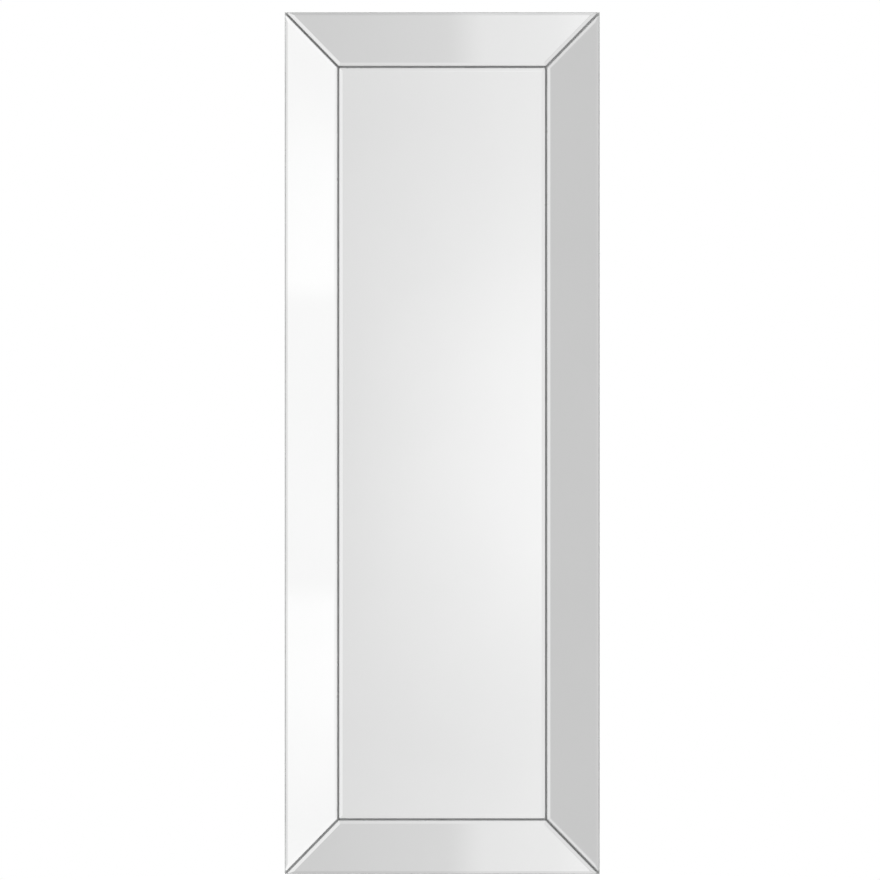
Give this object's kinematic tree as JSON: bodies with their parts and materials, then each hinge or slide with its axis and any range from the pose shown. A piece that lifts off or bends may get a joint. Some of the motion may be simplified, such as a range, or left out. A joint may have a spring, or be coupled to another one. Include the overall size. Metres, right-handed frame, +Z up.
{
  "type": "wall mirror",
  "caption": "Tall rectangular wall mirror: a tray frame faced with bevelled mirror strips slopes in to a bevelled centre mirror, hung on swinging rings behind.",
  "frame": {"origin": "middle of the wall plane, in which the faces of the four rubber bumpers lie, halfway across and halfway up the frame", "axes": "+Z up along the long side, +X to the right as one looks at the mirror, +Y towards the wall, so the mirror faces -Y"},
  "size_m": [0.508, 0.0497, 1.39],
  "materials": {
    "centre_silvered_glass": "polished, silvered at the back, bevelled edges",
    "strip_silvered_glass": "polished, silvered at the back, bevelled edges",
    "painted_timber": "satin silver-grey paint on the outer sides, bare at the back",
    "fibreboard": "raw, smooth fibreboard",
    "foam_tape": "matt closed-cell foam",
    "galvanised_wire": "galvanised",
    "zinc_screws": "bright zinc plate",
    "nail_steel": "bare spring steel",
    "plated_strap": "zinc plate",
    "plated_wire": "nickel plate",
    "bumper_rubber": "matt black rubber"
  },
  "bodies": {
    "mirror": {"back_panel": "fibreboard", "bottom_foam_tape": "foam_tape", "bottom_left_bumper": "bumper_rubber", "bottom_left_v_nails": "nail_steel", "bottom_rail": "painted_timber", "bottom_right_bumper": "bumper_rubber", "bottom_right_v_nails": "nail_steel", "bottom_strip_mirror": "strip_silvered_glass", "centre_foam_tape": "foam_tape", "centre_mirror": "centre_silvered_glass", "hanger_screws": "zinc_screws", "left_foam_tape": "foam_tape", "left_hanger_strap": "plated_strap", "left_stile": "painted_timber", "left_strip_mirror": "strip_silvered_glass", "panel_staples": "galvanised_wire", "right_foam_tape": "foam_tape", "right_hanger_strap": "plated_strap", "right_stile": "painted_timber", "right_strip_mirror": "strip_silvered_glass", "top_foam_tape": "foam_tape", "top_left_bumper": "bumper_rubber", "top_left_v_nails": "nail_steel", "top_rail": "painted_timber", "top_right_bumper": "bumper_rubber", "top_right_v_nails": "nail_steel", "top_strip_mirror": "strip_silvered_glass"},
    "left_ring": {"left_hanger_ring": "plated_wire"},
    "right_ring": {"right_hanger_ring": "plated_wire"}
  },
  "joints": [
    {"name": "left_ring_swing", "type": "hinge", "parent": "mirror", "child": "left_ring", "pos_m": [-0.2215, -0.00342, 0.475], "axis": [-1, 0, 0], "range_deg": [-3, 174]},
    {"name": "right_ring_swing", "type": "hinge", "parent": "mirror", "child": "right_ring", "pos_m": [0.2215, -0.00342, 0.475], "axis": [-1, 0, 0], "range_deg": [-3, 174]}
  ]
}
